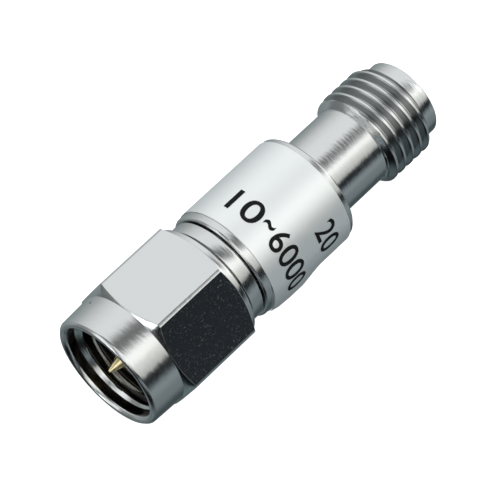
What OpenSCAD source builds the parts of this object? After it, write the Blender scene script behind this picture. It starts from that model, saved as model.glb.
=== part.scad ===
// Fixed coaxial attenuator, plug to jack, with a captive hexagon coupling nut.
// Every piece is turned about one axis, which runs from the plug's mouth to the jack's lip.
// The finished part lies on a flat of the nut, with the axis along +X and its middle over the origin.

/* [Coupling thread] */
// Major diameter of the coupling thread, a quarter inch
thread_d = 6.35; // [6.2:0.01:6.5]
// Pitch of the coupling thread, 36 turns to the inch
thread_pitch = 0.7056; // [0.6:0.001:0.8]
// Diametral play between the inner and the outer thread
thread_play = 0.05; // [0.02:0.01:0.1]
// Diametral room of the nut's plain mouth and of its relief round the outer thread
thread_room = 0.15; // [0.1:0.01:0.25]

/* [Coupling nut] */
// Length of the round collar in front of the hexagon
collar_l = 2.28; // [2:0.02:2.6]
// Wall of the collar at the mouth
collar_wall = 0.57; // [0.5:0.01:0.7]
// How much thicker the collar's wall is where it meets the hexagon
collar_flare = 0.085; // [0.02:0.005:0.12]
// Width of the hexagon across its flats
hex_af = 8.0; // [7.9:0.02:8.4]
// Length of the hexagon with its two end chamfers
hex_l = 5.7; // [5.3:0.02:6.2]
// Length of the turned chamfer at each end of the hexagon
hex_chamfer = 0.38; // [0.25:0.01:0.5]
// How far the hexagon's six corners are turned down
corner_break = 0.06; // [0.03:0.005:0.1]
// Length of the round tail behind the hexagon
tail_l = 0.28; // [0.2:0.01:0.4]
// Depth of the plain mouth in front of the thread
mouth_l = 0.78; // [0.5:0.01:1]
// Chamfer on the mouth's outer and inner edges
mouth_edge = 0.18; // [0.1:0.01:0.22]
// Radial running clearance between the nut and the plug's shank
spin_clear = 0.05; // [0.02:0.005:0.08]
// Open gap between the nut's tail and the plug's flange
nut_gap = 0.3; // [0.15:0.01:0.4]

/* [Plug] */
// Depth of the mating face behind the mouth of the nut
mating_depth = 2.47; // [2.2:0.01:2.7]
// Wall of the ferrule, the plug's outer contact, round its insulator
ferrule_wall = 0.225; // [0.2:0.005:0.24]
// Length of the ferrule in front of the shank's shoulder
ferrule_l = 2.63; // [2.5:0.01:2.8]
// Height of the shoulder between the ferrule and the shank that the nut turns on
shank_step = 0.605; // [0.55:0.005:0.65]
// Diameter of the flange behind the nut
flange_d = 7.0; // [6.8:0.02:7.3]
// Length of the flange
flange_l = 0.87; // [0.6:0.01:1.2]
// Chamfer on the edges of the flange and the ferrule
flange_edge = 0.06; // [0.03:0.01:0.1]
// Open groove between the flange and the barrel
flange_groove = 0.12; // [0.06:0.01:0.2]
// Length of the spigot inside the barrel
spigot_l = 1.62; // [1.4:0.02:2]
// Diameter of the plug's pin
pin_d = 0.914; // [0.88:0.002:0.94]
// How far the pin stands out of the mating face
pin_l = 2.2; // [2:0.01:2.4]
// Length of the pin's pointed end
pin_point_l = 1.0; // [0.7:0.02:1.2]
// Diameter of the flat left on the pin's point
pin_point_d = 0.16; // [0.1:0.01:0.3]

/* [Nut retention] */
// Thickness of the split ring that holds the nut on the shank
ring_t = 0.5; // [0.4:0.01:0.6]
// How far the split ring reaches into the shank
ring_bite = 0.35; // [0.25:0.01:0.4]
// How far the split ring reaches into the nut
ring_reach = 0.45; // [0.4:0.01:0.5]
// Opening in the split ring
ring_opening = 1.2; // [0.8:0.05:2]
// Play of the split ring in its two grooves, on each side
ring_play = 0.1; // [0.06:0.01:0.12]
// Thickness of the gasket in front of the shank's shoulder
gasket_t = 0.6; // [0.5:0.01:0.7]
// How far the gasket's rim lies inside the shank's edge
gasket_inset = 0.05; // [0.03:0.01:0.1]
// Room that the nut's relief leaves in front of the gasket and behind the shoulder
relief_room = 0.12; // [0.1:0.01:0.2]

/* [Barrel] */
// Outer diameter of the barrel
barrel_d = 7.4; // [7.2:0.02:7.7]
// Length of the barrel
barrel_l = 7.5; // [7.2:0.01:9]
// Wall of the barrel round the spigots
barrel_wall = 0.72; // [0.64:0.01:0.78]
// Wall at the barrel's rear end, which the neck passes through
end_wall = 0.7; // [0.5:0.02:0.9]
// Chamfer on the barrel's front edge
front_chamfer = 0.12; // [0.06:0.01:0.3]
// Chamfer on the barrel's rear edge
rear_chamfer = 0.12; // [0.06:0.01:0.2]

/* [Label] */
// Thickness of the label film
label_t = 0.05; // [0.03:0.005:0.08]
// Bare metal in front of the label
label_front = 0.55; // [0.4:0.01:1]
// Bare metal behind the label
label_rear = 0.45; // [0.3:0.01:0.8]
// Angle over which the label's end laps over its start
label_lap = 36; // [20:1:50]
// Angle round the barrel at which the lap starts, from straight down
label_seam = 266; // [250:1:320]

/* [Jack] */
// Wall of the neck round the jack's insulator
neck_wall = 0.58; // [0.5:0.01:0.72]
// Length of the neck
neck_l = 4.05; // [3.4:0.01:5]
// Length of the cone between the neck and the thread
lead_l = 0.32; // [0.25:0.01:0.7]
// Grooves of the outer thread
thread_turns = 4; // [3:1:6]
// Chamfer on the front of the outer thread
thread_chamfer = 0.3; // [0.15:0.01:0.4]
// Wall of the lip in front of the thread
lip_wall = 0.33; // [0.28:0.01:0.36]
// Length of the lip
lip_l = 1.0; // [0.7:0.02:1.2]
// Chamfer on the lip's edges
lip_edge = 0.08; // [0.04:0.01:0.12]
// Depth of the recess in front of the jack's mating face
recess_l = 1.95; // [1.8:0.01:2.1]
// Diametral clearance of the recess round a mating ferrule
recess_play = 0.03; // [0.02:0.01:0.06]
// Length of the jack's flange inside the barrel
seat_l = 1.1; // [0.8:0.02:1.3]
// Depth of the hole in the jack's contact
socket_l = 2.8; // [2.4:0.02:3]
// Length of the slots in the jack's contact
slot_l = 2.2; // [1.8:0.02:2.3]
// Width of the slots in the jack's contact
slot_w = 0.15; // [0.1:0.01:0.18]
// Diametral clearance of the contact's hole round a mating pin
socket_play = 0.016; // [0.01:0.002:0.03]

/* [Line] */
// Diameter of the two insulators
insulator_d = 4.1; // [4.0:0.01:4.16]
// Length of each insulator
insulator_l = 5.0; // [4.6:0.02:5.3]
// Diameter of the centre conductors
conductor_d = 1.27; // [1.2:0.01:1.34]
// Diameter of the air line behind each insulator
air_d = 2.94; // [2.8:0.02:3.2]
// Diameter of the shoulder that bears on an insulator's inner end
shoulder_d = 1.7; // [1.5:0.02:2]
// Length of that shoulder
shoulder_l = 0.5; // [0.3:0.02:0.7]

/* [Attenuator card] */
// Width of the ceramic card
card_w = 3.0; // [2.7:0.02:3.3]
// Thickness of the ceramic card
card_t = 0.4; // [0.3:0.01:0.5]
// How far the card's ends lie inside the carrier's ends
card_inset = 0.25; // [0.15:0.01:0.35]
// Thickness of the printed terminals and resistor
film_t = 0.03; // [0.02:0.005:0.05]
// Length of the two line terminals
terminal_l = 0.7; // [0.6:0.01:0.8]
// Width of the two line terminals
terminal_w = 1.4; // [1.2:0.02:1.5]
// Width of the two ground terminals along the card's sides
ground_w = 0.5; // [0.4:0.01:0.6]
// How far a conductor's fork reaches over the card
fork_grip = 0.5; // [0.4:0.01:0.58]
// Width of the channel along the carrier
channel_w = 2.2; // [2.12:0.02:2.3]
// Height of the channel along the carrier
channel_h = 2.2; // [1.9:0.02:2.6]

/* [Fits] */
// Gap between pieces that are pressed or slid together, on each side
fit_gap = 0.02; // [0.01:0.005:0.03]

/* [Hidden] */
$fn = 96;

nickel = "#c4c8c9";
gold = "#d3aa4e";
ptfe = "#f0efea";
silicone = "#b5482f";
bronze = "#b9a27a";
film = "#e6eaea";
alumina = "#efeee6";
silver = "#d9dadb";
carbon = "#2b2a2c";
carrier_brass = "#c9ad63";

// A cut runs this far past the face that it opens
past = 1;

// The thread's basic form: its height, the flats on its crests and in its roots, and its length on the jack
thread_h = 1.0825 / 2 * thread_pitch;
thread_crest = thread_pitch / 4;
thread_root = thread_pitch / 8;
thread_l = thread_turns * thread_pitch + thread_crest + thread_chamfer;

// Radii that fits share
insulator_seat_r = insulator_d / 2 + fit_gap;
ferrule_r = insulator_seat_r + ferrule_wall;
shank_r = ferrule_r + shank_step;
run_r = shank_r + spin_clear;
outer_thread_r = (thread_d - thread_play) / 2;
inner_thread_r = (thread_d + thread_play) / 2 - thread_h;
mouth_r = (thread_d + thread_room) / 2;
collar_front_r = mouth_r + collar_wall;
collar_rear_r = collar_front_r + collar_flare;
hex_corner_r = hex_af / 2 / cos(30);
hex_turned_r = hex_corner_r - corner_break;
bore_r = barrel_d / 2 - barrel_wall;
spigot_r = bore_r - fit_gap;
label_r = barrel_d / 2 + fit_gap / 2;
conductor_r = conductor_d / 2;
insulator_bore_r = conductor_r + fit_gap;
recess_r = ferrule_r + recess_play / 2;
lip_r = recess_r + lip_wall;
neck_r = insulator_seat_r + neck_wall;

// Places along the axis, from the mouth of the nut to the lip of the jack
hex_at = collar_l;
tail_at = hex_at + hex_l;
nut_l = tail_at + tail_l;
flange_at = nut_l + nut_gap;
flange_end = flange_at + flange_l;
barrel_at = flange_end + flange_groove;
neck_at = barrel_at + barrel_l;
lead_at = neck_at + neck_l;
thread_at = lead_at + lead_l;
lip_at = thread_at + thread_l;
total_l = lip_at + lip_l;

// Places along the axis inside the part
shoulder_at = mating_depth + ferrule_l;
gasket_at = shoulder_at - gasket_t;
relief_at = gasket_at - relief_room;
relief_end = shoulder_at + relief_room;
ring_mid = (relief_end + nut_l) / 2;
plug_step = mating_depth + insulator_l;
jack_face = total_l - recess_l;
jack_step = jack_face - insulator_l;
carrier_at = barrel_at + spigot_l;
seat_end = neck_at - end_wall;
seat_at = seat_end - seat_l;
carrier_l = seat_at - carrier_at;
card_at = carrier_at + card_inset;
card_l = carrier_l - 2 * card_inset;
card_end = card_at + card_l;
fork_gap = card_t / 2 + film_t + fit_gap;

// Lays the axis along +X, with the lowest flat of the nut on the ground and the middle over the origin
module lay_down()
{
    translate([-total_l / 2, 0, hex_af / 2])
        rotate([0, 90, 0])
            children();
}

// A solid turned about the axis from an outline of [radius, place] points
module turned(outline)
{
    rotate_extrude()
        polygon(outline);
}

// The grooves of a thread, drawn as rings, as [radius, place] points from the rear edge of its first crest
function thread_grooves(count, from, crest_r, root_r) =
    let (flank = (thread_pitch - thread_crest - thread_root) / 2)
    [
        for (i = [0 : count - 1])
            let (at = from + i * thread_pitch)
            each [
                [crest_r, at],
                [root_r, at + flank],
                [root_r, at + flank + thread_root],
                [crest_r, at + 2 * flank + thread_root]
            ]
    ];

// A round hole between two places along the axis
module bored(radius, from, to)
{
    translate([0, 0, from])
        cylinder(r = radius, h = to - from);
}

// A block that is centred on the axis, between two places along it. Height is up and down when laid down.
module block(height, width, from, to)
{
    translate([-height / 2, -width / 2, from])
        cube([height, width, to - from]);
}

// A groove for the split ring, cut between two radii
module ring_groove(inner, outer)
{
    width = ring_t + 2 * ring_play;
    translate([0, 0, ring_mid - width / 2])
        difference()
        {
            cylinder(r = outer, h = width);
            translate([0, 0, -past])
                cylinder(r = inner, h = width + 2 * past);
        }
}

// The nut's round stock: mouth edge, flared collar and tail
module nut_collar()
{
    turned([
        [0, 0],
        [collar_front_r - mouth_edge, 0],
        [collar_front_r, mouth_edge],
        [collar_rear_r, hex_at],
        [collar_rear_r, nut_l],
        [0, nut_l]
    ]);
}

// The nut's hexagon, with its corners turned down and its two ends chamfered
module nut_hexagon()
{
    intersection()
    {
        translate([0, 0, hex_at])
            rotate(30)
                cylinder(r = hex_corner_r, h = hex_l, $fn = 6);
        turned([
            [0, hex_at],
            [collar_rear_r, hex_at],
            [hex_turned_r, hex_at + hex_chamfer],
            [hex_turned_r, tail_at - hex_chamfer],
            [collar_rear_r, tail_at],
            [0, tail_at]
        ]);
    }
}

// The nut's inside: plain mouth, thread, relief for the gasket, and the bore that runs on the shank
module nut_bore()
{
    thread_start = mouth_l + mouth_r - inner_thread_r;
    first = thread_start + thread_crest;
    count = floor((relief_at - first) / thread_pitch);
    turned([
        [0, -past],
        [mouth_r + mouth_edge + past, -past],
        [mouth_r, mouth_edge],
        [mouth_r, mouth_l],
        [inner_thread_r, thread_start],
        each thread_grooves(count, first, inner_thread_r, inner_thread_r + thread_h),
        [inner_thread_r, relief_at],
        [mouth_r, relief_at],
        [mouth_r, relief_end],
        [run_r, relief_end],
        [run_r, nut_l + past],
        [0, nut_l + past]
    ]);
}

module coupling_nut()
{
    color(nickel)
        lay_down()
            difference()
            {
                union()
                {
                    nut_collar();
                    nut_hexagon();
                }
                nut_bore();
                ring_groove(shank_r, shank_r + ring_reach + ring_play);
            }
}

// Split ring that snaps into both grooves and turns with the nut
module retaining_ring()
{
    inner = shank_r - ring_bite;
    outer = shank_r + ring_reach;
    color(bronze)
        lay_down()
            translate([0, 0, ring_mid - ring_t / 2])
                difference()
                {
                    cylinder(r = outer, h = ring_t);
                    translate([0, 0, -past])
                        cylinder(r = inner, h = ring_t + 2 * past);
                    translate([-outer - past, -ring_opening / 2, -past])
                        cube([outer + past, ring_opening, ring_t + 2 * past]);
                }
}

// Flat gasket on the ferrule, seated against the shank's shoulder
module nut_gasket()
{
    color(silicone)
        lay_down()
            difference()
            {
                bored(shank_r - gasket_inset, gasket_at, shoulder_at);
                bored(ferrule_r + fit_gap, gasket_at - past, shoulder_at + past);
            }
}

// Plug body: ferrule, grooved shank, flange and the spigot that is pressed into the barrel
module plug_shell()
{
    flange_r = flange_d / 2;
    color(nickel)
        lay_down()
            difference()
            {
                turned([
                    [0, mating_depth],
                    [ferrule_r - flange_edge, mating_depth],
                    [ferrule_r, mating_depth + flange_edge],
                    [ferrule_r, shoulder_at],
                    [shank_r, shoulder_at],
                    [shank_r, flange_at],
                    [flange_r - flange_edge, flange_at],
                    [flange_r, flange_at + flange_edge],
                    [flange_r, flange_end - flange_edge],
                    [flange_r - flange_edge, flange_end],
                    [spigot_r, flange_end],
                    [spigot_r, carrier_at],
                    [0, carrier_at]
                ]);
                bored(insulator_seat_r, mating_depth - past, plug_step);
                bored(air_d / 2, plug_step - past, carrier_at + past);
                ring_groove(shank_r - ring_bite - ring_play, shank_r + past);
            }
}

// One insulator, from its mating face to the step that it bears on
module insulator(from, to)
{
    color(ptfe)
        lay_down()
            difference()
            {
                bored(insulator_d / 2, from, to);
                bored(insulator_bore_r, from - past, to + past);
            }
}

module plug_insulator()
{
    insulator(mating_depth, plug_step);
}

module jack_insulator()
{
    insulator(jack_step, jack_face);
}

// Gold pin: point, pin, conductor with its shoulder, and a fork over the card's first terminal
module plug_pin()
{
    tip = mating_depth - pin_l;
    fork_end = card_at + fork_grip;
    color(gold)
        lay_down()
            difference()
            {
                turned([
                    [0, tip],
                    [pin_point_d / 2, tip],
                    [pin_d / 2, tip + pin_point_l],
                    [pin_d / 2, mating_depth],
                    [conductor_r, mating_depth],
                    [conductor_r, plug_step],
                    [shoulder_d / 2, plug_step],
                    [shoulder_d / 2, plug_step + shoulder_l],
                    [conductor_r, plug_step + shoulder_l],
                    [conductor_r, fork_end],
                    [0, fork_end]
                ]);
                block(2 * fork_gap, conductor_d + past, card_at - fit_gap, fork_end + past);
            }
}

// Gold contact: slotted socket, conductor with its shoulder, and a fork over the card's second terminal
module jack_contact()
{
    socket_r = (pin_d + socket_play) / 2;
    entry = (conductor_r - socket_r) / 2;
    fork_end = card_end - fork_grip;
    color(gold)
        lay_down()
            difference()
            {
                turned([
                    [0, fork_end],
                    [conductor_r, fork_end],
                    [conductor_r, jack_step - shoulder_l],
                    [shoulder_d / 2, jack_step - shoulder_l],
                    [shoulder_d / 2, jack_step],
                    [conductor_r, jack_step],
                    [conductor_r, jack_face],
                    [socket_r + entry, jack_face],
                    [socket_r, jack_face - entry],
                    [socket_r, jack_face - socket_l],
                    [0, jack_face - socket_l]
                ]);
                for (turn = [0, 90])
                    rotate(turn)
                        block(slot_w, conductor_d + past, jack_face - slot_l, jack_face + past);
                block(2 * fork_gap, conductor_d + past, fork_end - past, card_end + fit_gap);
            }
}

// Outer body: a tube with a chamfered front edge and a rear wall that traps the jack
module barrel()
{
    barrel_r = barrel_d / 2;
    color(nickel)
        lay_down()
            difference()
            {
                turned([
                    [0, barrel_at],
                    [barrel_r - front_chamfer, barrel_at],
                    [barrel_r, barrel_at + front_chamfer],
                    [barrel_r, neck_at - rear_chamfer],
                    [barrel_r - rear_chamfer, neck_at],
                    [0, neck_at]
                ]);
                bored(bore_r, barrel_at - past, seat_end);
                bored(neck_r + fit_gap, seat_end - past, neck_at + past);
            }
}

// Printed film wrapped once round the barrel, with its end lapped over its start
module label()
{
    from = barrel_at + label_front;
    long = barrel_l - label_front - label_rear;
    color(film)
        lay_down()
            translate([0, 0, from])
            {
                rotate_extrude()
                    translate([label_r, 0])
                        square([label_t, long]);
                rotate(label_seam)
                    rotate_extrude(angle = label_lap)
                        translate([label_r + label_t / 2, 0])
                            square([label_t * 3 / 2, long]);
            }
}

// Jack body: flange inside the barrel, neck, thread, lip and recess
module jack_shell()
{
    first = thread_at + thread_crest;
    root_r = outer_thread_r - thread_h;
    color(nickel)
        lay_down()
            difference()
            {
                turned([
                    [0, seat_at],
                    [spigot_r, seat_at],
                    [spigot_r, seat_end],
                    [neck_r, seat_end],
                    [neck_r, lead_at],
                    [outer_thread_r, thread_at],
                    each thread_grooves(thread_turns, first, outer_thread_r, root_r),
                    [outer_thread_r, lip_at - thread_chamfer],
                    [outer_thread_r - thread_chamfer, lip_at],
                    [lip_r, lip_at],
                    [lip_r, total_l - lip_edge],
                    [lip_r - lip_edge, total_l],
                    [0, total_l]
                ]);
                bored(air_d / 2, seat_at - past, jack_step + past);
                bored(insulator_seat_r, jack_step, total_l);
                turned([
                    [0, jack_face],
                    [recess_r, jack_face],
                    [recess_r, total_l - lip_edge],
                    [recess_r + lip_edge + past, total_l + past],
                    [0, total_l + past]
                ]);
            }
}

// Half of the clamp that grounds the card's two edges. Side 1 lies below the card and -1 above it.
module carrier_half(side, film_room)
{
    color(carrier_brass)
        lay_down()
            difference()
            {
                bored(spigot_r, carrier_at, seat_at);
                translate([-side * spigot_r, 0, 0])
                    block(2 * spigot_r, 2 * spigot_r + past, carrier_at - past, seat_at + past);
                block(channel_h, channel_w, carrier_at - past, seat_at + past);
                block(card_t + 2 * film_room, card_w + 2 * fit_gap, card_at - fit_gap, card_end + fit_gap);
            }
}

module carrier_lower()
{
    carrier_half(1, 0);
}

module carrier_upper()
{
    carrier_half(-1, film_t);
}

// Ceramic card that carries the printed resistor
module attenuator_card()
{
    color(alumina)
        lay_down()
            block(card_t, card_w, card_at, card_end);
}

// A printed layer on the card's upper face
module print(from_side, to_side, from, to)
{
    translate([-card_t / 2 - film_t, from_side, from])
        cube([film_t, to_side - from_side, to - from]);
}

// Line terminals at the card's two ends, and ground terminals along its two sides
module card_terminals()
{
    color(silver)
        lay_down()
        {
            print(-terminal_w / 2, terminal_w / 2, card_at, card_at + terminal_l);
            print(-terminal_w / 2, terminal_w / 2, card_end - terminal_l, card_end);
            print(-card_w / 2, ground_w - card_w / 2, card_at, card_end);
            print(card_w / 2 - ground_w, card_w / 2, card_at, card_end);
        }
}

// Resistor film that joins the four terminals
module card_resistor()
{
    side = card_w / 2 - ground_w;
    color(carbon)
        lay_down()
            print(-side, side, card_at + terminal_l, card_end - terminal_l);
}

coupling_nut();
retaining_ring();
nut_gasket();
plug_shell();
plug_insulator();
plug_pin();
barrel();
label();
jack_shell();
jack_insulator();
jack_contact();
carrier_lower();
carrier_upper();
attenuator_card();
card_terminals();
card_resistor();
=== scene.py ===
"""Looks of a fixed coaxial attenuator that lies on a flat of its coupling nut.

Pieces are modelled in millimetres about the part's own axis, which runs along X from the mouth of the nut,
and are moved to their place in the frame, in metres, when they are finished.
"""

import math

import bmesh
import bpy
from mathutils import Matrix, Vector


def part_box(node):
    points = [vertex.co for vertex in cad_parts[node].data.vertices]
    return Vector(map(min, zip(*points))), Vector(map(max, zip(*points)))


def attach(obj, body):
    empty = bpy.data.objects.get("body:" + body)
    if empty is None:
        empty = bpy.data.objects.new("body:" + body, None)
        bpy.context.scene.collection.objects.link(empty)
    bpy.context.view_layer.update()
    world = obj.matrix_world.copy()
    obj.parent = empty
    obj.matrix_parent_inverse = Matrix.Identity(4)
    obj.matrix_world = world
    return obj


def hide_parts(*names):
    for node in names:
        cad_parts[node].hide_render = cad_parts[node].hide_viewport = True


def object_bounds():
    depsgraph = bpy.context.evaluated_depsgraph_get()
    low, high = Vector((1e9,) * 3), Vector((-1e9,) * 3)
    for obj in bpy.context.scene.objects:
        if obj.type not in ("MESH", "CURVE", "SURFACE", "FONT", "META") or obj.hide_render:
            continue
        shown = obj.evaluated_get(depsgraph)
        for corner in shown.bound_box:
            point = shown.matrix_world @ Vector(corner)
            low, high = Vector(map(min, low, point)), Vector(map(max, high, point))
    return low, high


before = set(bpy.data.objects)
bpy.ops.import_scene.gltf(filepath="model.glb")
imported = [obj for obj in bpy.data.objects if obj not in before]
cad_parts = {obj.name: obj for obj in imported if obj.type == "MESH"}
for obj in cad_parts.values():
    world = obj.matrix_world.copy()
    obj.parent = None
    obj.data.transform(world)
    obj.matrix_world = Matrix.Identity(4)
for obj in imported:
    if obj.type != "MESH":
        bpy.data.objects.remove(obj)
cad_low, cad_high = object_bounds()

# Places that the frame gives
MM = 0.001
MOUTH_X = cad_low.x / MM
AXIS_Z = (cad_low.z + cad_high.z) / 2 / MM


def along_axis(node):
    """Where a CAD node starts and ends, in millimetres from the mouth of the nut."""
    low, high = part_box(node)
    return low.x / MM - MOUTH_X, high.x / MM - MOUTH_X


def diameter(node):
    """How wide a CAD node is across the axis, in millimetres."""
    low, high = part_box(node)
    return (high.z - low.z) / MM


NUT_END = along_axis("coupling_nut")[1]
MATING_FACE, SPIGOT_END = along_axis("plug_shell")
BARREL_START, BARREL_END = along_axis("barrel")
LABEL_START, LABEL_END = along_axis("label")
JACK_START, JACK_END = along_axis("jack_shell")
JACK_STEP, JACK_FACE = along_axis("jack_insulator")
PLUG_STEP = along_axis("plug_insulator")[1]
RING_START, RING_END = along_axis("retaining_ring")
GASKET_START, SHOULDER = along_axis("nut_gasket")
HEX_AF = diameter("coupling_nut")
BARREL_R = diameter("barrel") / 2
THREAD_R = diameter("jack_shell") / 2
FLANGE_R = diameter("plug_shell") / 2

# Sizes inside a node's box, in millimetres
PITCH = 0.7056
THREAD_DEPTH = 0.382
COLLAR_LENGTH = 2.28
COLLAR_FRONT_R = 3.82
COLLAR_REAR_R = 3.905
HEX_CHAMFER = 0.38
CORNER_BREAK = 0.06
TAIL_LENGTH = 0.28
MOUTH_R = 3.25
MOUTH_EDGE = 0.18
MOUTH_DEPTH = 0.78
INNER_THREAD_R = 2.818
RUNNING_R = 2.95
SHANK_R = 2.9
RING_PLAY = 0.1
RING_GROOVE_R = 3.45
SHANK_GROOVE_R = 2.45
RELIEF_ROOM = 0.12
FERRULE_R = 2.295
FLANGE_LENGTH = 0.87
FLANGE_GROOVE = 0.12
FLANGE_EDGE = 0.03
SPIGOT_R = 2.96
BARREL_BORE_R = 2.98
BARREL_CHAMFER = 0.12
END_WALL = 0.7
NECK_R = 2.65
NECK_HOLE_R = 2.67
SEAT_LENGTH = 1.1
NECK_LENGTH = 4.05
LEAD_LENGTH = 0.32
LIP_LENGTH = 1.0
LIP_R = 2.64
LIP_EDGE = 0.08
THREAD_CHAMFER = 0.3
RECESS_R = 2.31
INSULATOR_R = 2.07
AIR_R = 1.47
FILM = 0.05

# How far the film lies off the barrel, and the ink off the film
FILM_GAP = 0.01
INK_GAP = 0.012
FILM_R = BARREL_R + FILM_GAP

# How far the core under the jack's thread stands over the neck, and how deep a thread's back is buried
CORE_STEP = 0.01
BURIED = 0.1

# Rounding of the edges
RIM_EASE = 0.06
TAIL_EASE = 0.03
FLAT_EASE = 0.03
FLANGE_EASE = 0.02
BARREL_EASE = 0.03
LIP_EASE = 0.025

# Shares of a turn by which the two threads are turned on
JACK_THREAD_TURN = 0.4
NUT_THREAD_TURN = 0.5

# How near two points are when they are welded, and when an edge or a face is looked for
WELD = 1e-4
NEAR = 1e-3

HEX_SIDES = 6
TURN_STEPS = 160
# Edges that turn by more than this many degrees stay sharp
SHARP_ANGLE = 40

# Places of the finishes in a nickel-plated piece's list of materials
TURNED_SLOT, MILLED_SLOT, THREAD_SLOT, INSIDE_SLOT = range(4)

# The camera's turn about the axis away from straight above, in degrees: a corner of the nut nearly faces it
CAMERA_TURN = 29.4


def facing(angle):
    """Direction across the axis at an angle from the one that faces the camera, towards its lower right."""
    turn = math.radians(angle + CAMERA_TURN)
    return Vector((0, -math.sin(turn), math.cos(turn)))


def hex_colour(code):
    """An sRGB hex colour as linear red, green, blue and alpha."""
    parts = [int(code[i:i + 2], 16) / 255 for i in (1, 3, 5)]
    return [p / 12.92 if p <= 0.04045 else ((p + 0.055) / 1.055) ** 2.4 for p in parts] + [1.0]


def add(tree, kind, inputs=None, **settings):
    """Adds a node with its properties, and sets or links its inputs. A node stands for its first output."""
    made = tree.nodes.new(kind)
    for name, value in settings.items():
        setattr(made, name, value)
    for name, value in (inputs or {}).items():
        source = value.outputs[0] if isinstance(value, bpy.types.Node) else value
        if isinstance(source, bpy.types.NodeSocket):
            tree.links.new(source, made.inputs[name])
        else:
            made.inputs[name].default_value = source
    return made


def new_material(name):
    """An empty node material and its tree."""
    material = bpy.data.materials.new(name)
    material.use_nodes = True
    material.node_tree.nodes.clear()
    return material, material.node_tree


def per_mm(size):
    """The texture scale that gives a feature of this size in millimetres."""
    return 1 / (size * MM)


# A nick on the collar: its place behind the mouth, angle from the camera's side, radius and soft edge
NICK_X = 1.72
NICK_ANGLE = -66.7
NICK_R = 0.1
NICK_EDGE = 0.03
# A colour mix node's two colours and its result, which share their names with its other sockets
MIX_FIRST, MIX_SECOND, MIX_RESULT = 6, 7, 2


def turned_nickel():
    """Bright nickel over turned brass: a clear mirror, softened by the tool's fine rings, with one nick."""
    material, tree = new_material("nickel_plated_turned_brass")
    place = add(tree, "ShaderNodeTexCoord").outputs["Object"]
    # Rings drawn at 0.18 mm, coarser than the real ones, so that they show
    ring_scale = (per_mm(0.18), per_mm(0.8), per_mm(0.8))
    ring_place = add(tree, "ShaderNodeMapping", {"Vector": place, "Scale": ring_scale})
    rings = add(tree, "ShaderNodeTexNoise", {"Vector": ring_place, "Scale": 1.0, "Detail": 3.0})
    haze = add(tree, "ShaderNodeTexNoise", {"Vector": place, "Scale": per_mm(0.35), "Detail": 4.0})
    rough = add(tree, "ShaderNodeMapRange", {"Value": haze, "To Min": 0.1, "To Max": 0.24})
    bump = add(tree, "ShaderNodeBump", {"Height": rings, "Strength": 1.0, "Distance": 0.016 * MM})
    nick_side = facing(NICK_ANGLE) * COLLAR_FRONT_R
    nick_place = Vector((MOUTH_X + NICK_X, nick_side.y, AXIS_Z + nick_side.z)) * MM
    from_nick = add(tree, "ShaderNodeVectorMath", {0: place, 1: nick_place}, operation="DISTANCE")
    clean = add(tree, "ShaderNodeMapRange", {
        "Value": from_nick.outputs["Value"],
        "From Min": (NICK_R - NICK_EDGE) * MM,
        "From Max": (NICK_R + NICK_EDGE) * MM,
    })
    colour = add(tree, "ShaderNodeMix", {
        "Factor": clean,
        MIX_FIRST: hex_colour("#5E6063"),
        MIX_SECOND: hex_colour("#D2D3D2"),
    }, data_type="RGBA")
    shader = add(tree, "ShaderNodeBsdfPrincipled", {
        "Base Color": colour.outputs[MIX_RESULT],
        "Metallic": 1.0,
        "Roughness": rough,
        "Normal": bump,
    })
    add(tree, "ShaderNodeOutputMaterial", {"Surface": shader})
    return material


def milled_nickel():
    """Bright nickel over milled flats: a smooth mirror, with fine raised specks that catch the light."""
    material, tree = new_material("nickel_plated_milled_brass")
    place = add(tree, "ShaderNodeTexCoord").outputs["Object"]
    grain = add(tree, "ShaderNodeTexNoise", {"Vector": place, "Scale": per_mm(0.11), "Detail": 3.0})
    specks = add(tree, "ShaderNodeMapRange", {"Value": grain, "From Min": 0.62, "From Max": 0.82})
    bump = add(tree, "ShaderNodeBump", {"Height": specks, "Strength": 1.0, "Distance": 0.004 * MM})
    rough = add(tree, "ShaderNodeMapRange", {"Value": grain, "To Min": 0.1, "To Max": 0.16})
    shader = add(tree, "ShaderNodeBsdfPrincipled", {
        "Base Color": hex_colour("#D2D3D3"),
        "Metallic": 1.0,
        "Roughness": rough,
        "Normal": bump,
    })
    add(tree, "ShaderNodeOutputMaterial", {"Surface": shader})
    return material


def thread_nickel_painted_shade():
    """Nickel over a cut thread, coloured greyer than the turned faces as painted shade in the grooves."""
    material, tree = new_material("cut_thread_nickel_painted_shade")
    place = add(tree, "ShaderNodeTexCoord").outputs["Object"]
    tears = add(tree, "ShaderNodeTexNoise", {"Vector": place, "Scale": per_mm(0.2), "Detail": 4.0})
    rough = add(tree, "ShaderNodeMapRange", {"Value": tears, "To Min": 0.14, "To Max": 0.24})
    shader = add(tree, "ShaderNodeBsdfPrincipled", {
        # The grey base colour paints the shade in the thread's grooves
        "Base Color": hex_colour("#A6A8A8"),
        "Metallic": 1.0,
        "Roughness": rough,
    })
    add(tree, "ShaderNodeOutputMaterial", {"Surface": shader})
    return material


def inside_nickel_painted_shade():
    """Nickel inside the nut: smooth, in a dark warm grey that paints the shade inside the mouth and the
    reflection of the gold pin.
    """
    material, tree = new_material("nickel_inside_painted_shade")
    place = add(tree, "ShaderNodeTexCoord").outputs["Object"]
    stain = add(tree, "ShaderNodeTexNoise", {"Vector": place, "Scale": per_mm(0.3), "Detail": 3.0})
    rough = add(tree, "ShaderNodeMapRange", {"Value": stain, "To Min": 0.1, "To Max": 0.2})
    shader = add(tree, "ShaderNodeBsdfPrincipled", {
        # The dark warm grey is painted shade inside the mouth, tinted as a painted reflection of the gold
        # pin
        "Base Color": hex_colour("#5A5753"),
        "Metallic": 1.0,
        "Roughness": rough,
    })
    add(tree, "ShaderNodeOutputMaterial", {"Surface": shader})
    return material


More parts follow.
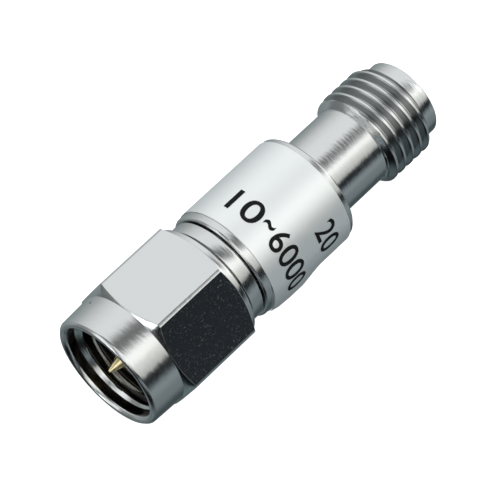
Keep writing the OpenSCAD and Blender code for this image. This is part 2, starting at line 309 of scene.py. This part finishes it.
def plated_gold():
    """Gold plate over a turned pin: a pale warm mirror with faint turning rings."""
    material, tree = new_material("gold_plated_turned_bronze")
    place = add(tree, "ShaderNodeTexCoord").outputs["Object"]
    ring_scale = (per_mm(0.06), per_mm(0.8), per_mm(0.8))
    ring_place = add(tree, "ShaderNodeMapping", {"Vector": place, "Scale": ring_scale})
    rings = add(tree, "ShaderNodeTexNoise", {"Vector": ring_place, "Scale": 1.0, "Detail": 2.0})
    rough = add(tree, "ShaderNodeMapRange", {"Value": rings, "To Min": 0.16, "To Max": 0.28})
    shader = add(tree, "ShaderNodeBsdfPrincipled", {
        "Base Color": hex_colour("#EDDCAE"),
        "Metallic": 1.0,
        "Roughness": rough,
    })
    add(tree, "ShaderNodeOutputMaterial", {"Surface": shader})
    return material


def label_film():
    """Silvered plastic film with a satin coat: a broad soft sheen and almost no texture."""
    material, tree = new_material("satin_silvered_label_film")
    place = add(tree, "ShaderNodeTexCoord").outputs["Object"]
    mottle = add(tree, "ShaderNodeTexNoise", {"Vector": place, "Scale": per_mm(0.5), "Detail": 3.0})
    rough = add(tree, "ShaderNodeMapRange", {"Value": mottle, "To Min": 0.46, "To Max": 0.52})
    shader = add(tree, "ShaderNodeBsdfPrincipled", {
        "Base Color": hex_colour("#F4F6F6"),
        "Metallic": 0.85,
        "Roughness": rough,
    })
    add(tree, "ShaderNodeOutputMaterial", {"Surface": shader})
    return material


def printing_ink():
    """Black printing ink: flat black, a little uneven."""
    material, tree = new_material("black_printing_ink")
    place = add(tree, "ShaderNodeTexCoord").outputs["Object"]
    patches = add(tree, "ShaderNodeTexNoise", {"Vector": place, "Scale": per_mm(0.2), "Detail": 2.0})
    rough = add(tree, "ShaderNodeMapRange", {"Value": patches, "To Min": 0.6, "To Max": 0.75})
    shader = add(tree, "ShaderNodeBsdfPrincipled", {
        "Base Color": hex_colour("#0B0C0D"),
        "Roughness": rough,
        "Specular IOR Level": 0.2,
    })
    add(tree, "ShaderNodeOutputMaterial", {"Surface": shader})
    return material


def plain_finish(name, colour, metallic, smooth, dull, grain):
    """A hidden piece's finish: one colour, with the roughness varied by a grain of the given size."""
    material, tree = new_material(name)
    place = add(tree, "ShaderNodeTexCoord").outputs["Object"]
    speckle = add(tree, "ShaderNodeTexNoise", {"Vector": place, "Scale": per_mm(grain), "Detail": 3.0})
    rough = add(tree, "ShaderNodeMapRange", {"Value": speckle, "To Min": smooth, "To Max": dull})
    shader = add(tree, "ShaderNodeBsdfPrincipled", {
        "Base Color": hex_colour(colour),
        "Metallic": metallic,
        "Roughness": rough,
    })
    add(tree, "ShaderNodeOutputMaterial", {"Surface": shader})
    return material


def everything(bm):
    """All that a cut can go through."""
    return bm.verts[:] + bm.edges[:] + bm.faces[:]


def revolve(outline):
    """A closed outline of (place, radius) points, turned once round the axis."""
    bm = bmesh.new()
    verts = [bm.verts.new((x, 0, r)) for x, r in outline]
    edges = [bm.edges.new((a, b)) for a, b in zip(verts, verts[1:] + verts[:1])]
    bmesh.ops.spin(bm, geom=verts + edges, cent=(0, 0, 0), axis=(1, 0, 0), angle=math.tau,
                   steps=TURN_STEPS, use_merge=True)
    bmesh.ops.remove_doubles(bm, verts=bm.verts, dist=WELD)
    bmesh.ops.recalc_face_normals(bm, faces=bm.faces)
    return bm


def radius(co):
    """Distance of a point from the axis."""
    return math.hypot(co.y, co.z)


def set_radius(vert, new_radius):
    """Moves a point straight towards or away from the axis."""
    share = new_radius / radius(vert.co)
    vert.co.y *= share
    vert.co.z *= share


def ease_corners(bm, corners, width, segments=3):
    """Rounds the turned edges that run through the outline's given corners."""
    def on(vert, corner):
        return abs(vert.co.x - corner[0]) < NEAR and abs(radius(vert.co) - corner[1]) < NEAR

    edges = [e for e in bm.edges if any(on(e.verts[0], c) and on(e.verts[1], c) for c in corners)]
    bmesh.ops.bevel(bm, geom=edges, offset=width, offset_type="OFFSET", segments=segments, profile=0.5,
                    affect="EDGES", clamp_overlap=True, material=-1)


def read_along(points, x):
    """The radius at x on a line of (place, radius) points."""
    for (x0, r0), (x1, r1) in zip(points, points[1:]):
        if x <= x1:
            return r0 + (r1 - r0) * max(0.0, x - x0) / (x1 - x0)
    return points[-1][1]


def thread_share(turn):
    """How high the thread stands at a share of its pitch, from 0 at the root to 1 at the crest."""
    crest, root = 1 / 8, 1 / 16
    slope = (abs(turn - 0.5) - crest) / (0.5 - crest - root)
    return 1 - min(1.0, max(0.0, slope))


def thread_sleeve(limit, root_r, crest_r, buried_r, turned_on, flank_slot):
    """A helical thread as a closed sleeve, as long as its limit, which is a line of (place, radius) points.

    The limit trims the crests, and buried_r hides the sleeve's back in the wall. Turned_on turns the thread
    by a share of a turn from where a crest is at the top of its start.
    """
    bm = bmesh.new()
    points, steps = 20, 96
    start, end = limit[0][0], limit[-1][0]
    turns = math.ceil((end - start) / PITCH) + 2
    chain = []
    for i in range(points + 1):
        r = root_r + (crest_r - root_r) * thread_share(i / points)
        x = start + PITCH * (turned_on - 1.5 + i / points)
        chain.append(bm.verts.new((x, 0, r)))
    edges = [bm.edges.new(pair) for pair in zip(chain, chain[1:])]
    bmesh.ops.spin(bm, geom=chain + edges, cent=(0, 0, 0), axis=(1, 0, 0), dvec=(PITCH / steps, 0, 0),
                   angle=math.tau * turns, steps=steps * turns, use_merge=False)
    bmesh.ops.remove_doubles(bm, verts=bm.verts, dist=WELD)
    for place, side in ((start, -1), (end, 1)):
        bmesh.ops.bisect_plane(bm, geom=everything(bm), plane_co=(place, 0, 0), plane_no=(side, 0, 0),
                               clear_outer=True)
    trim = min if crest_r > root_r else max
    for v in bm.verts:
        set_radius(v, trim(radius(v.co), read_along(limit, v.co.x)))
    back = []
    for place in (start, end):
        rim = [e for e in bm.edges if e.is_boundary and all(abs(v.co.x - place) < WELD for v in e.verts)]
        pushed = bmesh.ops.extrude_edge_only(bm, edges=rim)["geom"]
        for v in (g for g in pushed if isinstance(g, bmesh.types.BMVert)):
            set_radius(v, buried_r)
        back += [g for g in pushed if isinstance(g, bmesh.types.BMEdge) and g.is_boundary]
    bmesh.ops.bridge_loops(bm, edges=back)
    bmesh.ops.recalc_face_normals(bm, faces=bm.faces)
    for face in bm.faces:
        turned = all(abs(radius(v.co) - read_along(limit, v.co.x)) < NEAR for v in face.verts)
        face.material_index = TURNED_SLOT if turned else flank_slot
    return bm


def join(bm, other):
    """Adds another bmesh to this one and frees it."""
    carrier = bpy.data.meshes.new("carrier")
    other.to_mesh(carrier)
    other.free()
    bm.from_mesh(carrier)
    bpy.data.meshes.remove(carrier)


def finish_piece(bm, name, body, materials, node=None):
    """Moves a piece from the axis to its place in the frame, and gives it its body and materials."""
    place = Matrix.Scale(MM, 4) @ Matrix.Translation((MOUTH_X, 0, AXIS_Z))
    bmesh.ops.transform(bm, matrix=place, verts=bm.verts)
    for face in bm.faces:
        face.smooth = True
    mesh = bpy.data.meshes.new(name)
    bm.to_mesh(mesh)
    bm.free()
    mesh.set_sharp_from_angle(angle=math.radians(SHARP_ANGLE))
    for material in materials:
        mesh.materials.append(material)
    piece = bpy.data.objects.new(name, mesh)
    bpy.context.scene.collection.objects.link(piece)
    even = piece.modifiers.new("even_normals", "WEIGHTED_NORMAL")
    even.keep_sharp = True
    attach(piece, body)
    if node:
        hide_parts(node)


def mill_flats(bm, half_width):
    """Cuts the flats of the hexagon from the turned nut. Their eased edges keep the turned finish."""
    turns = [math.tau * i / HEX_SIDES for i in range(HEX_SIDES)]
    normals = [Vector((0, math.sin(turn), math.cos(turn))) for turn in turns]
    for normal in normals:
        cut = bmesh.ops.bisect_plane(bm, geom=everything(bm), plane_co=normal * half_width, plane_no=normal,
                                     clear_outer=True)
        rim = [g for g in cut["geom_cut"] if isinstance(g, bmesh.types.BMEdge)]
        for face in bmesh.ops.edgeloop_fill(bm, edges=rim)["faces"]:
            face.material_index = MILLED_SLOT
    bmesh.ops.recalc_face_normals(bm, faces=bm.faces)
    rims = {e for f in bm.faces if f.material_index == MILLED_SLOT for e in f.edges}
    bmesh.ops.bevel(bm, geom=list(rims), offset=FLAT_EASE, offset_type="OFFSET", segments=2, profile=0.5,
                    affect="EDGES", clamp_overlap=True, material=-1)
    for face in bm.faces:
        if not any(all(abs(v.co.dot(n) - half_width) < WELD for v in face.verts) for n in normals):
            face.material_index = TURNED_SLOT


def coupling_nut():
    """The captive nut, with its thread cut inside."""
    hex_start, hex_end = COLLAR_LENGTH, NUT_END - TAIL_LENGTH
    turned_r = HEX_AF / 2 / math.cos(math.pi / HEX_SIDES) - CORNER_BREAK
    groove_start, groove_end = RING_START - RING_PLAY, RING_END + RING_PLAY
    relief_start, relief_end = GASKET_START - RELIEF_ROOM, SHOULDER + RELIEF_ROOM
    rim = [
        (MOUTH_EDGE, MOUTH_R),
        (0, MOUTH_R + MOUTH_EDGE),
        (0, COLLAR_FRONT_R - MOUTH_EDGE),
        (MOUTH_EDGE, COLLAR_FRONT_R),
    ]
    tail_rear = (NUT_END, COLLAR_REAR_R)
    bm = revolve([
        *rim,
        (hex_start, COLLAR_REAR_R),
        (hex_start + HEX_CHAMFER, turned_r),
        (hex_end - HEX_CHAMFER, turned_r),
        (hex_end, COLLAR_REAR_R),
        tail_rear,
        (NUT_END, RUNNING_R),
        (groove_end, RUNNING_R),
        (groove_end, RING_GROOVE_R),
        (groove_start, RING_GROOVE_R),
        (groove_start, RUNNING_R),
        (relief_end, RUNNING_R),
        (relief_end, MOUTH_R),
    ])
    ease_corners(bm, rim, RIM_EASE, 4)
    ease_corners(bm, [tail_rear], TAIL_EASE)
    mill_flats(bm, HEX_AF / 2)
    # Faces inside the mouth take the finish with painted shade
    for face in bm.faces:
        if all(radius(v.co) < MOUTH_R + NEAR for v in face.verts):
            face.material_index = INSIDE_SLOT
    lead_end = MOUTH_DEPTH + MOUTH_R - INNER_THREAD_R
    limit = [
        (MOUTH_DEPTH, MOUTH_R),
        (lead_end, INNER_THREAD_R),
        (relief_start, INNER_THREAD_R),
    ]
    root_r = INNER_THREAD_R + THREAD_DEPTH
    # The nut's thread flanks take the same finish with painted shade
    join(bm, thread_sleeve(limit, root_r, INNER_THREAD_R, MOUTH_R + BURIED, NUT_THREAD_TURN, INSIDE_SLOT))
    finish_piece(bm, "coupling_nut_turned", "nut", NICKELS, "coupling_nut")


def plug_shell():
    """The plug's body, whose flange shows behind the nut."""
    flange_end = BARREL_START - FLANGE_GROOVE
    flange_start = flange_end - FLANGE_LENGTH
    groove_start, groove_end = RING_START - RING_PLAY, RING_END + RING_PLAY
    flange = [
        (flange_start, FLANGE_R - FLANGE_EDGE),
        (flange_start + FLANGE_EDGE, FLANGE_R),
        (flange_end - FLANGE_EDGE, FLANGE_R),
        (flange_end, FLANGE_R - FLANGE_EDGE),
    ]
    bm = revolve([
        (MATING_FACE, FERRULE_R - FLANGE_EDGE),
        (MATING_FACE + FLANGE_EDGE, FERRULE_R),
        (SHOULDER, FERRULE_R),
        (SHOULDER, SHANK_R),
        (groove_start, SHANK_R),
        (groove_start, SHANK_GROOVE_R),
        (groove_end, SHANK_GROOVE_R),
        (groove_end, SHANK_R),
        (flange_start, SHANK_R),
        *flange,
        (flange_end, SPIGOT_R),
        (SPIGOT_END, SPIGOT_R),
        (SPIGOT_END, AIR_R),
        (PLUG_STEP, AIR_R),
        (PLUG_STEP, INSULATOR_R),
        (MATING_FACE, INSULATOR_R),
    ])
    ease_corners(bm, flange, FLANGE_EASE, 2)
    finish_piece(bm, "plug_shell_turned", "body", [NICKEL], "plug_shell")


def barrel():
    """The outer body, bare in front of the label and at its rear edge."""
    seat = BARREL_END - END_WALL
    corners = [
        (BARREL_START, BARREL_R - BARREL_CHAMFER),
        (BARREL_START + BARREL_CHAMFER, BARREL_R),
        (BARREL_END - BARREL_CHAMFER, BARREL_R),
        (BARREL_END, BARREL_R - BARREL_CHAMFER),
    ]
    bm = revolve([
        *corners,
        (BARREL_END, NECK_HOLE_R),
        (seat, NECK_HOLE_R),
        (seat, BARREL_BORE_R),
        (BARREL_START, BARREL_BORE_R),
    ])
    ease_corners(bm, corners, BARREL_EASE)
    finish_piece(bm, "barrel_turned", "body", [NICKEL], "barrel")


def jack_shell():
    """The jack's body, with the thread cut on it."""
    seat_end = JACK_START + SEAT_LENGTH
    lead = BARREL_END + NECK_LENGTH
    lip = JACK_END - LIP_LENGTH
    core_r = NECK_R + CORE_STEP
    lip_edges = [
        (JACK_END - LIP_EDGE, LIP_R),
        (JACK_END, LIP_R - LIP_EDGE),
        (JACK_END, RECESS_R + LIP_EDGE),
        (JACK_END - LIP_EDGE, RECESS_R),
    ]
    bm = revolve([
        (JACK_START, SPIGOT_R),
        (seat_end, SPIGOT_R),
        (seat_end, NECK_R),
        (lead, NECK_R),
        (lead, core_r),
        (lip, core_r),
        (lip, LIP_R),
        *lip_edges,
        (JACK_FACE, RECESS_R),
        (JACK_FACE, INSULATOR_R),
        (JACK_STEP, INSULATOR_R),
        (JACK_STEP, AIR_R),
        (JACK_START, AIR_R),
    ])
    ease_corners(bm, lip_edges, LIP_EASE, 2)
    limit = [
        (lead, NECK_R),
        (lead + LEAD_LENGTH, THREAD_R),
        (lip - THREAD_CHAMFER, THREAD_R),
        (lip, THREAD_R - THREAD_CHAMFER),
    ]
    root_r = THREAD_R - THREAD_DEPTH
    # The thread's flanks take the grey finish with painted shade in the grooves
    join(bm, thread_sleeve(limit, root_r, THREAD_R, NECK_R - BURIED, JACK_THREAD_TURN, THREAD_SLOT))
    finish_piece(bm, "jack_shell_turned", "body", NICKELS, "jack_shell")


# In degrees: the label's free edge from the camera's side, its lap, the lap's run-out and the lifted stretch
LAP_EDGE = 92
LAP_ANGLE = 36
LAP_EASE = 12
LIFT_ANGLE = 26
# How far the free edge stands off, by the distance from the label's front edge
LIFT = [(0, 0.02), (0.5, 0.14), (1.4, 0.19), (2.6, 0.2), (3.4, 0.1), (4.1, 0.0)]


def lap_radius(angle, x):
    """Radius of the label's outer face at an angle back from its free edge, in degrees."""
    lapped = min(1.0, max(0.0, (LAP_ANGLE + LAP_EASE - angle) / LAP_EASE))
    lifted = max(0.0, 1 - angle / LIFT_ANGLE) ** 2
    return FILM_R + FILM + FILM * lapped + lifted * read_along(LIFT, x - LABEL_START)


def label():
    """The film, wrapped a little more than once round the barrel, with its lap lifted at the front."""
    bm = bmesh.new()
    rows, steps = 36, 220
    long = LABEL_END - LABEL_START
    start = facing(LAP_EDGE) * FILM_R
    chain = [bm.verts.new(start + Vector((LABEL_START + long * i / rows, 0, 0))) for i in range(rows + 1)]
    edges = [bm.edges.new(pair) for pair in zip(chain, chain[1:])]
    wrap = 360 + LAP_ANGLE
    bmesh.ops.spin(bm, geom=chain + edges, cent=(0, 0, 0), axis=(-1, 0, 0), angle=math.radians(wrap),
                   steps=steps, use_merge=False)
    bm.verts.ensure_lookup_table()
    # The spin leaves its points row by row, so a point's number gives its angle
    for i, v in enumerate(bm.verts):
        angle = wrap * (i // (rows + 1)) / steps
        place = facing(LAP_EDGE - angle) * lap_radius(angle, v.co.x)
        v.co = Vector((v.co.x, place.y, place.z))
    bmesh.ops.recalc_face_normals(bm, faces=bm.faces)
    bmesh.ops.solidify(bm, geom=bm.faces[:], thickness=FILM)
    finish_piece(bm, "label_wrap", "body", [LABEL], "label")


# Numbers printed round the label: name, text, height, start and end in degrees from the camera's side,
# and the place of the base line behind the label's front edge
PRINTED_NUMBERS = [
    ("printed_low", "10", 1.55, -41, -7, 1.05),
    ("printed_dash", "~", 0.42, -4, 8, 1.75),
    ("printed_high", "6000", 1.55, 11, 76, 1.05),
    ("printed_value", "20", 1.55, 36, 64, 3.95),
]
# How much each stroke is swelled, as a share of the letters' size
STROKE_SWELL = 0.009


def print_number(name, text, height, start_angle, end_angle, foot):
    """A plain number, cut in slices so that it bends round the label."""
    curve = bpy.data.curves.new(name, "FONT")
    curve.body = text
    curve.size = 1.0
    curve.resolution_u = 6
    curve.offset = STROKE_SWELL
    shape = bpy.data.objects.new(name, curve)
    bpy.context.scene.collection.objects.link(shape)
    bpy.context.view_layer.update()
    flat = shape.to_mesh()
    bm = bmesh.new()
    bm.from_mesh(flat)
    shape.to_mesh_clear()
    bpy.data.objects.remove(shape)
    bpy.data.curves.remove(curve)
    left = min(v.co.x for v in bm.verts)
    wide = max(v.co.x for v in bm.verts) - left
    base = min(v.co.y for v in bm.verts)
    tall = max(v.co.y for v in bm.verts) - base
    slices = 60
    for i in range(1, slices):
        bmesh.ops.bisect_plane(bm, geom=everything(bm), plane_co=(left + wide * i / slices, 0, 0),
                               plane_no=(1, 0, 0))
    for v in bm.verts:
        angle = start_angle + (end_angle - start_angle) * (v.co.x - left) / wide
        x = LABEL_START + foot + height * (v.co.y - base) / tall
        place = facing(angle) * (lap_radius(LAP_EDGE - angle, x) + INK_GAP)
        v.co = Vector((x, place.y, place.z))
    bmesh.ops.remove_doubles(bm, verts=bm.verts, dist=WELD)
    bmesh.ops.recalc_face_normals(bm, faces=bm.faces)
    finish_piece(bm, name, "body", [INK])


NICKEL = turned_nickel()
NICKELS = [NICKEL, milled_nickel(), thread_nickel_painted_shade(), inside_nickel_painted_shade()]
GOLD = plated_gold()
LABEL = label_film()
INK = printing_ink()

coupling_nut()
plug_shell()
barrel()
jack_shell()
label()
for number in PRINTED_NUMBERS:
    print_number(*number)

# Finishes of the CAD nodes that stay
NODE_FINISHES = {
    "retaining_ring": plain_finish("plain_spring_bronze", "#B9A27A", 1.0, 0.25, 0.4, 0.2),
    "nut_gasket": plain_finish("moulded_silicone", "#B5482F", 0.0, 0.5, 0.65, 0.15),
    "plug_insulator": plain_finish("turned_white_fluoropolymer", "#F0EFEA", 0.0, 0.35, 0.5, 0.2),
    "carrier_lower": plain_finish("turned_brass", "#D8BC78", 1.0, 0.2, 0.35, 0.15),
    "attenuator_card": plain_finish("fired_alumina", "#EFEEE6", 0.0, 0.5, 0.7, 0.1),
    "card_terminals": plain_finish("fired_silver_print", "#D9DADB", 1.0, 0.4, 0.55, 0.08),
    "card_resistor": plain_finish("fired_resistor_print", "#2B2A2C", 0.0, 0.4, 0.6, 0.08),
    "plug_pin": GOLD,
    "jack_contact": GOLD,
}
NODE_FINISHES["jack_insulator"] = NODE_FINISHES["plug_insulator"]
NODE_FINISHES["carrier_upper"] = NODE_FINISHES["carrier_lower"]
for node, finish in NODE_FINISHES.items():
    for material_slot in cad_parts[node].material_slots:
        material_slot.material = finish

# The photograph's camera: its frame and focal length in pixels, the pixel that shows one point of the axis,
# that point's place behind the mouth, its distance, and how the axis is tilted away and rolled
IMAGE = 500
FOCAL_PIXELS = 3100.7
AXIS_PIXEL = (243.0, 247.0)
AXIS_POINT = 11.49
CAMERA_DISTANCE = 180.0
AXIS_TILT = math.radians(22.54)
AXIS_ROLL = math.radians(43.03)
SENSOR_WIDTH = 36.0
# Nearest distance that the camera sees, in metres
CLIP_START = 0.01


def make_camera():
    """A camera that sees the axis at the tilt, roll and distance that the photograph has."""
    tilt_c, tilt_s = math.cos(AXIS_TILT), math.sin(AXIS_TILT)
    roll_c, roll_s = math.cos(AXIS_ROLL), math.sin(AXIS_ROLL)
    # The part's axis, its side that faces the camera and its lower right side, as the camera sees them
    seen_axis = Vector((tilt_c * roll_c, -tilt_c * roll_s, tilt_s))
    seen_side = Vector((roll_s, roll_c, 0))
    seen_face = (seen_axis * tilt_s - Vector((0, 0, 1))) / tilt_c
    seen = Matrix((seen_axis, seen_face, seen_side)).transposed()
    real = Matrix(((1, 0, 0), facing(0), facing(90))).transposed()
    to_world = real @ seen.transposed()
    offset = [(AXIS_PIXEL[i] - IMAGE / 2) / FOCAL_PIXELS * CAMERA_DISTANCE for i in (0, 1)]
    axis_point = Vector((MOUTH_X + AXIS_POINT, 0, AXIS_Z))
    place = axis_point - to_world @ Vector((*offset, CAMERA_DISTANCE))
    turn = to_world @ Matrix.Diagonal((1, -1, -1))
    data = bpy.data.cameras.new("camera")
    data.sensor_width = SENSOR_WIDTH
    data.lens = FOCAL_PIXELS * SENSOR_WIDTH / IMAGE
    data.clip_start = CLIP_START
    camera = bpy.data.objects.new("camera", data)
    camera.matrix_world = Matrix.Translation(place * MM) @ turn.to_4x4()
    bpy.context.scene.collection.objects.link(camera)
    bpy.context.scene.camera = camera


# Half the floor's width, in metres
FLOOR_HALF = 2.0


def make_floor():
    """A plain pale floor. Reflections take the world's own lower half instead of it."""
    bm = bmesh.new()
    bmesh.ops.create_grid(bm, x_segments=1, y_segments=1, size=FLOOR_HALF)
    bmesh.ops.translate(bm, verts=bm.verts, vec=(0, 0, cad_low.z))
    mesh = bpy.data.meshes.new("floor")
    bm.to_mesh(mesh)
    bm.free()
    material, tree = new_material("pale_paper_floor")
    shader = add(tree, "ShaderNodeBsdfPrincipled", {
        "Base Color": hex_colour("#F7F7F6"),
        "Roughness": 0.9,
        "Emission Color": hex_colour("#FFFFFF"),
        "Emission Strength": 0.75,
    })
    add(tree, "ShaderNodeOutputMaterial", {"Surface": shader})
    mesh.materials.append(material)
    floor = bpy.data.objects.new("floor", mesh)
    floor.visible_glossy = False
    floor.visible_diffuse = False
    bpy.context.scene.collection.objects.link(floor)


# Colour of the light tent round the axis, by the angle in degrees from straight up towards the camera's side
TENT = [
    (-180, "#394245"),
    (-150, "#636B6D"),
    (-115, "#80888A"),
    (-90, "#9DA2A3"),
    (-65, "#C4C6C7"),
    (-40, "#D7DADB"),
    (0, "#DADDDE"),
    (26, "#EAECEC"),
    (36, "#FFFFFF"),
    (46, "#F8F9F6"),
    (55, "#D7D8D5"),
    (74, "#B0B1AE"),
    (80, "#191D21"),
    (93, "#191D21"),
    (105, "#727B7F"),
    (112, "#7E878B"),
    (130, "#6C7578"),
    (145, "#6A7276"),
    (165, "#404A4D"),
    (180, "#394245"),
]
TENT_STRENGTH = 1.5
# Soft steps of the tent's light: the axis, where it is least and where it is full, and the least share
TENT_STEPS = {
    "back": ("Y", 0.1, 0.6, 0.06),
    "front": ("Y", 0.1, -0.3, 0.0),
    "past_jack": ("X", 0.55, 0.85, 0.0),
    "gap_length": ("X", 0.75, 0.36, 0.0),
}
# Where along X the tent's end at the mouth is fully open and where closed, and the light at its back
OPEN_X = -0.6
CLOSED_X = -0.4
BACK_LIGHT = 0.5
# Added light past the jack's end, at the front
FAR_LIGHT = 0.9
# The dark gap in the tent's roof, in degrees: its angle at X of 0, how far it turns by an X of 1, and the
# angles from its middle at which it ends and within which it is darkest, with the share of light it takes
GAP_ANGLE = 2.5
GAP_SKEW = 32
GAP_EDGE = 25.5
GAP_CORE = 4.5
GAP_DEPTH = 0.82
# Round patches past the mouth's end: the direction, and the angles in degrees within which one is full and
# past which it ends, with the light that each of the last three adds
ROOF = ((0.0, -0.8, 0.6), 69, 83)
WINDOW = ((-0.90, 0.36, 0.25), 10, 20, 1.0)
LAMP = ((-0.975, 0.215, -0.01), 7, 12, 4.5)
BENCH = ((-0.45, 0.0, -0.89), 8, 20, 1.5)


def round_patch(tree, place, direction, inner, outer):
    """Share of a soft round patch of the world: full within an angle in degrees, none past another."""
    toward = add(tree, "ShaderNodeVectorMath", {0: place, 1: direction}, operation="DOT_PRODUCT")
    return add(tree, "ShaderNodeMapRange", {
        "Value": toward.outputs["Value"],
        "From Min": math.cos(math.radians(outer)),
        "From Max": math.cos(math.radians(inner)),
    }, interpolation_type="SMOOTHSTEP")


def tent_colour(tree, angle):
    """The tent's colour at an angle round the axis."""
    share = add(tree, "ShaderNodeMapRange", {"Value": angle, "From Min": -math.pi, "From Max": math.pi})
    ramp = add(tree, "ShaderNodeValToRGB", {"Fac": share})
    stops = ramp.color_ramp.elements
    for i, (degrees, colour) in enumerate(TENT):
        position = (degrees + 180) / 360
        # A new ramp has two stops
        stop = stops[i] if i < 2 else stops.new(position)
        stop.position = position
        stop.color = hex_colour(colour)
    return ramp


def tent_light(tree, place, parts, angle):
    """The tent's brightness in a direction, from its parts along the axes and its angle round the part."""
    steps = {}
    for name, (axis, least_at, full_at, least) in TENT_STEPS.items():
        steps[name] = add(tree, "ShaderNodeMapRange", {
            "Value": parts.outputs[axis],
            "From Min": least_at,
            "From Max": full_at,
            "To Min": least,
        }, interpolation_type="SMOOTHSTEP")
    # The open end is black in the middle, grey at the back and closed by the roof high at the front
    dusk = add(tree, "ShaderNodeMath", {0: steps["back"], 1: BACK_LIGHT}, operation="MULTIPLY")
    dusk = add(tree, "ShaderNodeMath", {0: dusk, 1: round_patch(tree, place, *ROOF)}, operation="MAXIMUM")
    light = add(tree, "ShaderNodeMapRange", {
        "Value": parts.outputs["X"],
        "From Min": OPEN_X,
        "From Max": CLOSED_X,
        "To Min": dusk,
    }, interpolation_type="SMOOTHSTEP")
    far_front = add(tree, "ShaderNodeMath", {0: steps["past_jack"], 1: steps["front"]}, operation="MULTIPLY")
    light = add(tree, "ShaderNodeMath", {0: far_front, 1: FAR_LIGHT, 2: light}, operation="MULTIPLY_ADD")
    middle = add(tree, "ShaderNodeMath", {
        0: parts.outputs["X"],
        1: math.radians(GAP_SKEW),
        2: math.radians(GAP_ANGLE),
    }, operation="MULTIPLY_ADD")
    off_middle = add(tree, "ShaderNodeMath", {0: angle, 1: middle}, operation="SUBTRACT")
    off_middle = add(tree, "ShaderNodeMath", {0: off_middle}, operation="ABSOLUTE")
    across = add(tree, "ShaderNodeMapRange", {
        "Value": off_middle,
        "From Min": math.radians(GAP_EDGE),
        "From Max": math.radians(GAP_CORE),
    }, interpolation_type="SMOOTHSTEP")
    gap = add(tree, "ShaderNodeMath", {0: across, 1: steps["gap_length"]}, operation="MULTIPLY")
    left_over = add(tree, "ShaderNodeMath", {0: gap, 1: -GAP_DEPTH, 2: 1.0}, operation="MULTIPLY_ADD")
    light = add(tree, "ShaderNodeMath", {0: light, 1: left_over}, operation="MULTIPLY")
    for *patch, gain in (WINDOW, LAMP, BENCH):
        share = round_patch(tree, place, *patch)
        light = add(tree, "ShaderNodeMath", {0: share, 1: gain, 2: light}, operation="MULTIPLY_ADD")
    return light


def make_world():
    """A light tent, brighter past the jack's end and open at the mouth's, where lights and a bench show."""
    world = bpy.data.worlds.new("light_tent")
    bpy.context.scene.world = world
    world.use_nodes = True
    tree = world.node_tree
    tree.nodes.clear()
    place = add(tree, "ShaderNodeTexCoord").outputs["Generated"]
    parts = add(tree, "ShaderNodeSeparateXYZ", {"Vector": place})
    front = add(tree, "ShaderNodeMath", {0: parts.outputs["Y"], 1: -1.0}, operation="MULTIPLY")
    angle = add(tree, "ShaderNodeMath", {0: front, 1: parts.outputs["Z"]}, operation="ARCTAN2")
    light = tent_light(tree, place, parts, angle)
    strength = add(tree, "ShaderNodeMath", {0: light, 1: TENT_STRENGTH}, operation="MULTIPLY")
    tent = add(tree, "ShaderNodeBackground", {"Color": tent_colour(tree, angle), "Strength": strength})
    plain = add(tree, "ShaderNodeBackground", {"Color": hex_colour("#FFFFFF"), "Strength": 1.0})
    seen = add(tree, "ShaderNodeLightPath").outputs["Is Camera Ray"]
    mixed = add(tree, "ShaderNodeMixShader", {0: seen, 1: tent, 2: plain})
    add(tree, "ShaderNodeOutputWorld", {"Surface": mixed})


make_camera()
make_floor()
make_world()
bpy.context.scene.view_settings.view_transform = "Standard"
